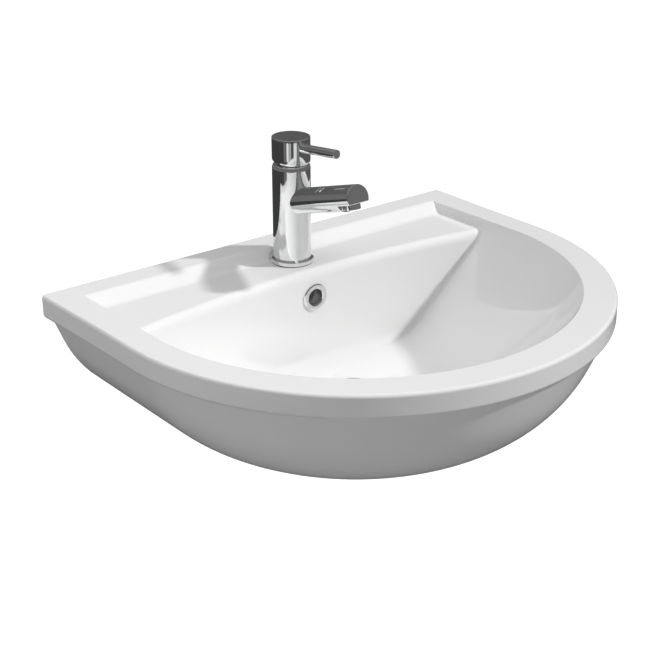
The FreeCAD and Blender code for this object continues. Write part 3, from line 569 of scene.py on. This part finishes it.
class BASIN_OT_casting(Operator):
    """Glazed ceramic casting, left raw at the wall and inside its hollow"""
    bl_idname = "basin.casting"
    bl_label = "Basin casting"

    def execute(self, context):
        mesh = merged_mesh("basin")
        for slot in ("glaze", "raw"):
            mesh.materials.append(finish(slot))
        made = opened(mesh)
        lowest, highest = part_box("basin")
        rounding = highest.z - RIM_ROUND
        self.true_rim(made, rounding, RIM_ARC_Y - lowest.y)
        tree = BVHTree.FromBMesh(made)
        for face in made.faces:
            face.material_index = 1 if self.is_hidden(tree, face) else 0
        piece = dress_mesh("basin_casting", closed(made, mesh))
        self.round_rim(mesh, rounding)
        settle(piece, "basin", None)
        return {"FINISHED"}

    def true_rim(self, made, low, radius):
        """Cuts the rim's outer rounding at even steps and sets its points on the true arc."""
        def on_rounding(vert):
            reach = hypot(vert.co.x, vert.co.y - RIM_ARC_Y)
            turn = atan2(vert.co.x, RIM_ARC_Y - vert.co.y)
            return (abs(turn) < RIM_SWEEP and vert.co.z > low - RIM_GAP
                    and reach > radius - RIM_ROUND - RIM_GAP)

        faces = [face for face in made.faces if all(on_rounding(vert) for vert in face.verts)]
        parts = set(faces)
        for face in faces:
            parts.update(face.edges, face.verts)
        parts = list(parts)
        for step in range(1, RIM_STEPS):
            height = low + RIM_ROUND * sin(step / RIM_STEPS * pi / 2)
            parts = bmesh.ops.bisect_plane(made, geom=parts, dist=RIM_GAP, plane_co=(0, 0, height),
                                           plane_no=UP)["geom"]
        for vert in parts:
            if isinstance(vert, bmesh.types.BMVert):
                sine = min(max((vert.co.z - low) / RIM_ROUND, 0), 1)
                spoke = Vector((vert.co.x, vert.co.y - RIM_ARC_Y, 0)).normalized()
                reach = radius - RIM_ROUND + RIM_ROUND * sqrt(1 - sine * sine)
                vert.co = Vector((0, RIM_ARC_Y, vert.co.z)) + spoke * reach

    def round_rim(self, mesh, low):
        """Tilts the normals of the rim's outer rounding by their height, which its long facets don't give."""
        slack, wall_facing = 0.003, 0.3
        normals = [Vector(corner.vector) for corner in mesh.corner_normals]
        for loop, normal in zip(mesh.loops, normals):
            place = mesh.vertices[loop.vertex_index].co
            sine = (place.z - low) / RIM_ROUND
            outward = normal.x * place.x + normal.y * (place.y - WASTE_AXIS.y)
            if -slack < sine < 1 + slack and outward > 0 and normal.y < wall_facing:
                sine = min(max(sine, 0), 1)
                flat = Vector((normal.x, normal.y, 0)).normalized()
                spoke = Vector((place.x, place.y - RIM_ARC_Y, 0)).normalized()
                if spoke.y < -cos(RIM_SWEEP):
                    flat = spoke
                normal[:] = flat * sqrt(1 - sine * sine) + UP * sine
        mesh.normals_split_custom_set(normals)

    def is_hidden(self, tree, face):
        """True for the wall face and for faces that see out neither upwards nor sideways."""
        wall_facing, wall_band, lift = 0.9, 0.001, 0.0008
        centre = face.calc_center_median()
        if face.normal.y > wall_facing and centre.y > -wall_band:
            return True
        start = centre + face.normal * lift
        side = Vector((copysign(1, centre.x), 0, 0))
        ahead = Vector((centre.x, min(centre.y - WASTE_AXIS.y, 0), 0)).normalized()
        return all(tree.ray_cast(start, way)[0] for way in (UP, side, ahead))


class BASIN_OT_overflow(Operator):
    """Chrome ring round the overflow hole"""
    bl_idname = "basin.overflow"
    bl_label = "Overflow ring"

    def execute(self, context):
        low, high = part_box("overflow_ring")
        ring = half_width("overflow_ring")
        bore, sleeve = ring * 0.597, ring * 0.675
        proud, seat, face_round = 0.0024, 0.0003, 0.0019
        depth = high.y - low.y - proud
        made = turned([(bore, -depth), (sleeve, -depth), (sleeve, seat), (ring, seat),
                       (ring, proud, face_round), (bore, proud, face_round)])
        place = Matrix.Translation((0, low.y + proud, (low.z + high.z) / 2)) @ Matrix.Rotation(pi / 2, 4, "X")
        chrome_piece("overflow_chrome_ring", "overflow_ring", made, place)
        return {"FINISHED"}


class BASIN_OT_tap_body(Operator):
    """Tap body and spout, polished as one casting"""
    bl_idname = "basin.tap_body"
    bl_label = "Tap body"

    def execute(self, context):
        sizes = context.scene.basin_tap
        column = self.column(sizes)
        spout, start, way = self.spout(sizes)
        joined = column.modifiers.new("Join", "BOOLEAN")
        joined.operation, joined.solver, joined.object = "UNION", "EXACT", spout
        mesh = evaluated_mesh(column)
        for spare in (column, spout):
            bpy.data.objects.remove(spare)
        mesh.materials.clear()
        mesh.shade_smooth()
        self.set_normals(mesh, sizes, start, way)
        settle(linked_object("tap_chrome_body", mesh), "tap_body", finish("chrome"))
        return {"FINISHED"}

    def column(self, sizes):
        radius, top, nut = sizes.body_radius, sizes.body_height, sizes.nut_radius
        foot, spigot, spigot_end, room, steps = 0.001, 0.0169, -0.006, 0.0061, 12
        shoulder = [(radius - sizes.shoulder_depth * (1 - cos(t)), top - sizes.shoulder_rise * (1 - sin(t)))
                    for t in (pi / 2 * n / steps for n in range(steps + 1))]
        made = turned([(0, spigot_end), (spigot, spigot_end), (spigot, foot), (radius, foot), *shoulder,
                       (nut, top), (nut, top - room), (0, top - room)])
        return make_object("tap_column", made, Matrix.Translation(TAP_FOOT))

    def spout(self, sizes):
        way = forwards(sizes.spout_angle)
        start = TAP_FOOT + UP * sizes.spout_height
        reach = sizes.spout_reach / cos(sizes.spout_angle)
        made = turned([(0, 0), (sizes.spout_radius, 0), (sizes.spout_radius, reach), (0, reach)])
        spout = make_object("tap_spout", made, along(start, way))
        below = bmesh.new()
        bmesh.ops.create_cube(below, size=1)
        drop = SIDE.cross(way)
        size = sizes.spout_radius * 4
        flat_start = start + way * (reach - sizes.flat_length) + drop * sizes.spout_flat
        turn = Matrix((SIDE, way, drop)).transposed().to_4x4()
        place = Matrix.Translation(flat_start + (way + drop) * size / 2)
        below.transform(place @ turn @ Matrix.Scale(size, 4))
        cutter = make_object("tap_spout_flat", below)
        flat = spout.modifiers.new("Flat", "BOOLEAN")
        flat.operation, flat.solver, flat.object = "DIFFERENCE", "EXACT", cutter
        spout.data = evaluated_mesh(spout)
        spout.modifiers.clear()
        bpy.data.objects.remove(cutter)
        self.bevel_end(spout.data, start + way * reach, way, sizes.spout_bevel)
        return spout, start, way

    def bevel_end(self, mesh, end, way, width):
        """Narrow bevel round the spout's end face."""
        side_on = 0.5
        made = opened(mesh)
        bmesh.ops.remove_doubles(made, verts=made.verts, dist=PLANE_GAP)
        at_end = {vert for vert in made.verts if abs((vert.co - end).dot(way)) < PLANE_GAP}
        rim = [edge for edge in made.edges if at_end.issuperset(edge.verts)
               and any(abs(face.normal.dot(way)) < side_on for face in edge.link_faces)]
        bmesh.ops.bevel(made, geom=rim, offset=width, segments=2, profile=0.5, affect="EDGES")
        closed(made, mesh)

    def set_normals(self, mesh, sizes, start, way):
        """Exact normals: round about the body's axis or the spout's axis, and flat elsewhere."""
        near, slack, core = 5e-5, 1e-5, 0.002
        alike, facing, side_most, top_most, upright = 0.98, 0.5, 0.01, 0.999, 0.95
        shoulder_low = DECK_Z + sizes.body_height - sizes.shoulder_rise
        normals = []
        for face in mesh.polygons:
            flat = Vector(face.normal)
            for index in face.vertices:
                place = mesh.vertices[index].co
                spoke = Vector((place.x, place.y - TAP_AXIS.y, 0))
                outward, offset = spoke.normalized(), place - start
                square, turned_out = offset - way * offset.dot(way), flat.dot(outward)
                normal = flat
                rise = min(1.0, max(0.0, (place.z - shoulder_low) / sizes.shoulder_rise))
                if abs(square.length - sizes.spout_radius) < near and flat.dot(square.normalized()) > alike:
                    normal = square.normalized()
                elif rise > 0 and side_most < flat.z < top_most and spoke.length < sizes.body_radius + slack:
                    level = sizes.shoulder_rise * sqrt(1 - rise ** 2)
                    normal = (outward * level + UP * sizes.shoulder_depth * rise).normalized()
                elif spoke.length > core and abs(flat.z) < upright and abs(turned_out) > facing:
                    normal = outward * copysign(sqrt(1 - flat.z ** 2), turned_out) + UP * flat.z
                    normal = normal if normal.dot(flat) > alike else flat
                normals.append(normal)
        mesh.normals_split_custom_set(normals)


class BASIN_OT_tap_foot(Operator):
    """Chrome ring and rubber seal at the foot of the tap"""
    bl_idname = "basin.tap_foot"
    bl_label = "Tap foot"

    def execute(self, context):
        sizes = context.scene.basin_tap
        low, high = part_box("tap_base_ring")
        clearance, edge = 0.00005, 0.0004
        outer, inner = half_width("tap_base_ring"), sizes.body_radius + clearance
        made = turned([(inner, low.z - DECK_Z), (outer, low.z - DECK_Z), (outer, sizes.foot_ring_edge, edge),
                       (inner, high.z - DECK_Z)])
        chrome_piece("tap_chrome_foot_ring", "tap_base_ring", made, Matrix.Translation(TAP_FOOT))
        dressed_copies(("tap_base_seal", "tap_foot_seal", "rubber"))
        return {"FINISHED"}


class BASIN_OT_aerator(Operator):
    """Aerator under the spout's tip: chrome housing, crossed bars and seal"""
    bl_idname = "basin.aerator"
    bl_label = "Aerator"

    def execute(self, context):
        sizes = context.scene.basin_tap
        sunk, wall, height, lip, outer_edge, inner_edge = 0.001, 0.0015, 0.011, 0.001, 0.0005, 0.0003
        clearance, insert_top, bar_slack = 0.00005, -0.001, 0.0001
        lean, radius = sizes.spout_angle, sizes.aerator_radius
        way = forwards(lean)
        drop = SIDE.cross(way)
        reach = sizes.spout_reach / cos(lean) - sizes.aerator_back
        origin = TAP_FOOT + UP * sizes.spout_height + way * reach + drop * sunk
        place = along(origin, -drop)
        inner, foot = radius - wall, lip - height
        made = turned([(radius, 0), (radius, -height, outer_edge), (inner - lip, -height, inner_edge),
                       (inner - lip, foot), (inner, foot), (inner, 0)])
        chrome_piece("aerator_chrome_housing", "aerator_housing", made, place)
        ring = inner - clearance
        made = turned([(ring, foot), (ring, insert_top), (ring - wall, insert_top), (ring - wall, foot)])
        bars = grown_mesh("aerator_bars", group_named("Round grid", grid_tree), {
            "Radius": ring - wall / 2, "Pitch": sizes.bar_pitch, "Width": sizes.bar_pitch / 2,
            "Height": insert_top - foot - bar_slack, "Count": sizes.bar_count,
            "Material": finish("white_plastic")})
        bars.transform(Matrix.Translation((0, 0, (foot + insert_top) / 2)))
        made.from_mesh(bars)
        bpy.data.meshes.remove(bars)
        settle(make_object("aerator_insert_grid", made, place), "aerator_insert", finish("white_plastic"))
        dressed_copies(("aerator_seal", "aerator_rubber_seal", "rubber"))
        return {"FINISHED"}


class BASIN_OT_cartridge(Operator):
    """Cartridge pieces inside the tap"""
    bl_idname = "basin.cartridge"
    bl_label = "Cartridge"

    def execute(self, context):
        for node in sorted(BODY_OF):
            if node.startswith("cartridge_"):
                slot = "plated_brass" if node == "cartridge_nut" else SLOT_OF[node]
                dressed_copies((node, node + "_finished", slot))
        return {"FINISHED"}


class BASIN_OT_handle(Operator):
    """Handle: chrome cap and lever, grub screw and index plug"""
    bl_idname = "basin.handle"
    bl_label = "Handle"

    def execute(self, context):
        sizes = context.scene.basin_tap
        self.cap(sizes)
        self.lever(sizes)
        dressed_copies(("handle_grub_screw", "handle_grub_screw_steel", "steel"),
                       ("handle_index_plug", "handle_index_plug_grey", "grey_plastic"))
        return {"FINISHED"}

    def cap(self, sizes):
        """Cap whose lower edge slopes: its low points are moved along the axis to the raked plane."""
        radius, inner = sizes.body_radius, sizes.body_radius - sizes.cap_wall
        low = sizes.body_height + sizes.cap_gap
        top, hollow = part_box("handle_cap")[1].z - DECK_Z, sizes.body_height + sizes.cap_hollow
        made = turned([(radius, low, sizes.cap_edge), (radius, top, sizes.edge_round), (0, top), (0, hollow),
                       (inner, hollow), (inner, low)])
        for vert in made.verts:
            if vert.co.z < low + sizes.cap_edge + PLANE_GAP:
                vert.co.z += vert.co.y * tan(sizes.cap_rake)
        chrome_piece("handle_chrome_cap", "handle_cap", made, Matrix.Translation(TAP_FOOT))

    def lever(self, sizes):
        sunk, edge, steps = 0.004, 0.0006, 96
        lean, radius = sizes.lever_angle, sizes.lever_radius
        seat, end = (sizes.body_radius - sunk) / cos(lean), sizes.lever_reach / cos(lean)
        made = turned([(0, seat), (radius, seat), (radius, end, edge), (0, end)], steps)
        place = along(TAP_FOOT + UP * sizes.lever_height, forwards(lean))
        chrome_piece("handle_chrome_lever", "handle_lever", made, place)


class BASIN_OT_tap_fixing(Operator):
    """Stud, washers and nut that hold the tap from below"""
    bl_idname = "basin.tap_fixing"
    bl_label = "Tap fixing"

    def execute(self, context):
        sizes = context.scene.basin_waste
        dressed_copies(("tap_rubber_washer", "tap_fixing_rubber", "rubber"),
                       ("tap_clamp_plate", "tap_fixing_plate", "steel"),
                       ("tap_fixing_nut", "tap_fixing_brass_nut", "brass"),
                       ("tap_fixing_stud", "tap_fixing_steel_stud", "steel"))
        add_thread("tap_fixing_stud_thread", "tap_fixing_stud", "tap_fixing_nut", sizes.stud_radius,
                   sizes.stud_pitch, middle("tap_fixing_stud"), "steel")
        return {"FINISHED"}


class BASIN_OT_waste(Operator):
    """Waste: chrome body with its thread, seals, washer and backnut"""
    bl_idname = "basin.waste"
    bl_label = "Waste"

    def execute(self, context):
        sizes = context.scene.basin_waste
        dressed_copies(("waste_body", "waste_chrome_body", "chrome"),
                       ("waste_top_seal", "waste_upper_seal", "rubber"),
                       ("waste_bottom_seal", "waste_lower_seal", "rubber"),
                       ("waste_slip_washer", "waste_plastic_washer", "white_plastic"),
                       ("waste_backnut", "waste_plastic_backnut", "white_plastic"))
        add_thread("waste_tail_thread", "waste_body", "waste_backnut", sizes.tail_radius, sizes.tail_pitch,
                   WASTE_AXIS, "chrome")
        return {"FINISHED"}


class BASIN_OT_plug(Operator):
    """Click plug: chrome dome, seal, stem and sleeve"""
    bl_idname = "basin.plug"
    bl_label = "Plug"

    def execute(self, context):
        sizes = context.scene.basin_waste
        low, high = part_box("plug_cap")
        boss, socket, edge_round, dome_share, steps = 0.006, 0.0032, 0.0006, 0.97, 12
        radius, rise = half_width("plug_cap"), sizes.plug_crown
        top, seat = high.z - low.z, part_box("plug_seal")[1].z - low.z
        crown = (radius ** 2 + rise ** 2) / (2 * rise)
        dome = [(crown * sin(a), top - crown + crown * cos(a))
                for a in (asin(radius * dome_share / crown) * n / steps for n in range(steps, -1, -1))]
        made = turned([(boss, 0), (boss, seat), (radius, seat), (radius, top - rise, edge_round), *dome,
                       (0, seat), (socket, seat), (socket, 0)])
        place = Matrix.Translation((WASTE_AXIS.x, WASTE_AXIS.y, low.z))
        chrome_piece("plug_chrome_dome", "plug_cap", made, place)
        dressed_copies(("plug_seal", "plug_rubber_seal", "rubber"),
                       ("plug_stem", "plug_steel_stem", "waste_steel"),
                       ("plug_sleeve", "plug_white_sleeve", "white_plastic"))
        return {"FINISHED"}


def add_thread(name, node, nut, radius, pitch, centre, slot):
    """Thread ridges on a rod from its lower end up to its nut, clear of both."""
    low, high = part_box(node)[0].z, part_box(nut)[0].z
    mesh = grown_mesh(name, group_named("Thread ridges", ridges_tree), {
        "Radius": radius, "Depth": bpy.context.scene.basin_waste.ridge_depth,
        "Start": (centre.x, centre.y, low + pitch), "Step": (0.0, 0.0, pitch),
        "Count": int((high - low - 2 * pitch) / pitch), "Material": finish(slot)})
    settle(dress_mesh(name, mesh), node, finish(slot), stands_for=False)


# Stage


def grey(tone):
    """Opaque colour with one tone in all channels."""
    return tone, tone, tone, 1


class BASIN_OT_stage(Operator):
    """Camera, lamps, pale floor, and the glowing tent and cards that paint the reflections in the chrome"""
    bl_idname = "basin.stage"
    bl_label = "Stage"

    def execute(self, context):
        settings = context.scene.basin_stage
        self.camera(context.scene, settings)
        self.world(context.scene, settings)
        self.floor(settings)
        self.tent(settings)
        self.strips(settings)
        self.lamps(settings)
        context.scene.view_settings.view_transform = "Standard"
        return {"FINISHED"}

    def camera(self, scene, settings):
        data = bpy.data.cameras.new("Camera")
        data.sensor_width, data.lens = 36.0, settings.lens
        data.clip_start, data.clip_end = 0.01, 100.0
        a, e = settings.azimuth, settings.elevation
        right = Vector((cos(a), sin(a), 0))
        back = Vector((sin(a) * cos(e), -cos(a) * cos(e), sin(e)))
        turn = Matrix((right, back.cross(right), back)).transposed().to_4x4()
        scene.camera = linked_object("Camera", data)
        scene.camera.matrix_world = Matrix.Translation(settings.camera_place) @ turn

    def two_ways(self, tree, output, lighting, seen):
        """One shader for the light that is given, and one for what camera, mirrors and glass see."""
        path = add_node(tree, "ShaderNodeLightPath")
        share = path, "Is Camera Ray"
        for name in ("Is Glossy Ray", "Is Transmission Ray"):
            share = maths(tree, "MAXIMUM", share, (path, name))
        choose = add_node(tree, "ShaderNodeMixShader", share, lighting, seen)
        add_node(tree, output, Surface=(choose, "Shader"))

    def world(self, scene, settings):
        scene.world = bpy.data.worlds.new("Studio")
        scene.world.use_nodes = True
        tree = scene.world.node_tree
        tree.nodes.clear()
        soft, white = (add_node(tree, "ShaderNodeBackground", Strength=strength, Color=grey(1))
                       for strength in (settings.ambient, 1.0))
        self.two_ways(tree, "ShaderNodeOutputWorld", (soft, "Background"), (white, "Background"))

    def floor(self, settings):
        made = bmesh.new()
        bmesh.ops.create_circle(made, cap_ends=True, radius=30, segments=64)
        floor = make_object("floor", made, Matrix.Translation((0, 0, -settings.floor_drop)))
        paint = blank_material("Pale floor")
        node = partial(add_node, paint.node_tree)
        plain, shade = (node("ShaderNodeBsdfDiffuse", Color=grey(tone)) for tone in (0.40, 0.26))
        glow = node("ShaderNodeEmission", Strength=0.95)
        both = node("ShaderNodeAddShader", (shade, "BSDF"), (glow, "Emission"))
        self.two_ways(paint.node_tree, "ShaderNodeOutputMaterial", (plain, "BSDF"), (both, "Shader"))
        floor.data.materials.append(paint)

    def tent(self, settings):
        """Glowing grey tent round the basin, no lamp and seen only in polished surfaces, where it paints
        their reflections: painted shade at eye level and painted light above.
        """
        lift, spring, forward, arc_steps, steps = 0.02, 0.2, 0.2, 16, 64
        radius, low = settings.tent_radius, lift - settings.floor_drop
        # Glow of the tent by height: painted shade at eye level, painted light above
        stops = ((0.193, 0.045), (0.229, 0.145), (0.44, 0.145), (0.50, 0.1), (0.6, 0.12), (0.72, 0.22),
                 (1.0, 0.24))
        arc = [(radius * cos(t), spring + radius * sin(t))
               for t in (pi / 2 * n / arc_steps for n in range(arc_steps))]
        made = turned([(0.0, low), (radius, low), *arc, (0.0, spring + radius)], steps)
        tent = make_object("grey_tent", made, Matrix.Translation((0, -forward, 0)))
        paint = blank_material("Grey tent")
        node = partial(add_node, paint.node_tree)
        split = node("ShaderNodeSeparateXYZ", Vector=(node("ShaderNodeTexCoord"), "Object"))
        across, height = (split, "X"), (split, "Z")
        rise = node("ShaderNodeMapRange", Value=height, From_Min=-0.75, From_Max=2.0)
        # Painted lit floor: a little more glow low down on the right, which shows as a brighter patch in the
        # reflections there
        side = node("ShaderNodeMapRange", Value=across, From_Min=-0.2, From_Max=0.8, To_Min=0.0, To_Max=0.045)
        below = node("ShaderNodeMapRange", Value=height, From_Min=-0.12, From_Max=-0.25)
        tones = node("ShaderNodeValToRGB", Fac=(rise, "Result"))
        ramp = tones.color_ramp.elements
        for k, (where, tone) in enumerate(stops):
            stop = ramp[k] if k < len(ramp) else ramp.new(where)
            stop.position, stop.color = where, grey(tone)
        total = maths(paint.node_tree, "MULTIPLY_ADD", (side, "Result"), (below, "Result"), (tones, "Color"))
        self.glow(paint, total)
        self.only_mirrored(tent, paint)

    def strips(self, settings):
        """Glowing upright cards on an arc before the basin, no lamps and seen only in polished surfaces,
        where they paint light and dark streaks on the cap.
        """
        # Each card: first and last turn in degrees from the way to the camera, and its glow; bright cards
        # paint light streaks on the cap, dim ones paint dark streaks
        cards = ((-44, -26, 0.14), (-26, -15, 0.8), (-15, -9, 0.28), (-9, -1, 0.45), (-1, 14, 0.08),
                 (15, 33, 0.72), (33, 41, 0.1))
        away, low, high, facet = 1.3, -0.28, -0.09, 3
        ahead = atan2(settings.camera_place[1] - TAP_AXIS.y, settings.camera_place[0] - TAP_AXIS.x)
        corners, faces, values = [], [], []
        for first, last, tone in cards:
            steps = max(2, round((last - first) / facet))
            turns = [ahead + radians(first + (last - first) * n / steps) for n in range(steps + 1)]
            for start, end in zip(turns, turns[1:]):
                faces.append([len(corners) + n for n in range(4)])
                corners += [(away * cos(t), TAP_AXIS.y + away * sin(t), z)
                            for t, z in ((start, low), (end, low), (end, high), (start, high))]
                values.append(tone)
        mesh = bpy.data.meshes.new("light_cards")
        mesh.from_pydata(corners, [], faces)
        mesh.attributes.new("tone", "FLOAT", "FACE").data.foreach_set("value", values)
        paint = blank_material("Light cards")
        source = add_node(paint.node_tree, "ShaderNodeAttribute")
        source.attribute_name = "tone"
        self.glow(paint, (source, "Fac"))
        self.only_mirrored(linked_object("light_cards", mesh), paint)

    def glow(self, paint, strength):
        """Glow of a material that isn't sampled as a lamp."""
        light = add_node(paint.node_tree, "ShaderNodeEmission", Strength=strength)
        add_node(paint.node_tree, "ShaderNodeOutputMaterial", Surface=(light, "Emission"))
        paint.cycles.emission_sampling = "NONE"

    def only_mirrored(self, piece, paint):
        """Paint a stage piece and keep it out of everything but reflections."""
        piece.data.materials.append(paint)
        for kind in ("camera", "diffuse", "transmission", "volume_scatter", "shadow"):
            setattr(piece, "visible_" + kind, False)

    def lamps(self, settings):
        """One far lamp for the shadows and three soft boxes, all left out of the polished surfaces."""
        rise, turn, far, aim = settings.key_rise, settings.key_turn, 3, Vector((0, -0.2, 0))
        way = Vector((sin(turn) * cos(rise), -cos(turn) * cos(rise), sin(rise)))
        key = self.lamp("Key", "SUN", way * far, way)
        key.energy, key.angle = settings.key_strength, settings.key_spread
        for name, place, size, power in (("Top", (0, -0.2, 2.2), 2.4, settings.top_power),
                                         ("Left", (-1.8, 0.5, 1.0), 1.4, settings.left_power),
                                         ("Front", (-1.3, -1.9, -0.1), 1.0, settings.front_power)):
            box = self.lamp(name, "AREA", place, Vector(place) - aim)
            box.size, box.energy = size, power

    def lamp(self, name, kind, place, away):
        """Lamp that shines against a direction."""
        data = bpy.data.lights.new(name, kind)
        lamp = linked_object(name, data)
        lamp.location, lamp.rotation_mode = place, "QUATERNION"
        lamp.rotation_quaternion = away.to_track_quat("Z", "Y")
        lamp.visible_glossy = False
        return data


OPERATORS = (BASIN_OT_casting, BASIN_OT_overflow, BASIN_OT_tap_body, BASIN_OT_tap_foot, BASIN_OT_aerator,
             BASIN_OT_cartridge, BASIN_OT_handle, BASIN_OT_tap_fixing, BASIN_OT_waste, BASIN_OT_plug,
             BASIN_OT_stage)
SETTINGS = {"basin_tap": TapSizes, "basin_waste": WasteSizes, "basin_finishes": Finishes,
            "basin_stage": StageSettings}


class BASIN_PT_panel(Panel):
    """Lists the basin's pieces, sizes and finishes"""
    bl_idname = "BASIN_PT_panel"
    bl_label = "Wash basin"
    bl_space_type = "VIEW_3D"
    bl_region_type = "UI"
    bl_category = "Basin"

    def draw(self, context):
        for operator in OPERATORS:
            self.layout.operator(operator.bl_idname)
        for name, group in SETTINGS.items():
            box = self.layout.box()
            for field in group.__annotations__:
                box.prop(getattr(context.scene, name), field)


CLASSES = (*SETTINGS.values(), *OPERATORS, BASIN_PT_panel)


def register():
    for made in CLASSES:
        bpy.utils.register_class(made)
    for name, group in SETTINGS.items():
        setattr(bpy.types.Scene, name, PointerProperty(type=group))


def unregister():
    for name in SETTINGS:
        delattr(bpy.types.Scene, name)
    for made in reversed(CLASSES):
        bpy.utils.unregister_class(made)


def main():
    register()
    for operator in OPERATORS:
        family, name = operator.bl_idname.split(".")
        getattr(getattr(bpy.ops, family), name)()


if __name__ == "__main__":
    main()
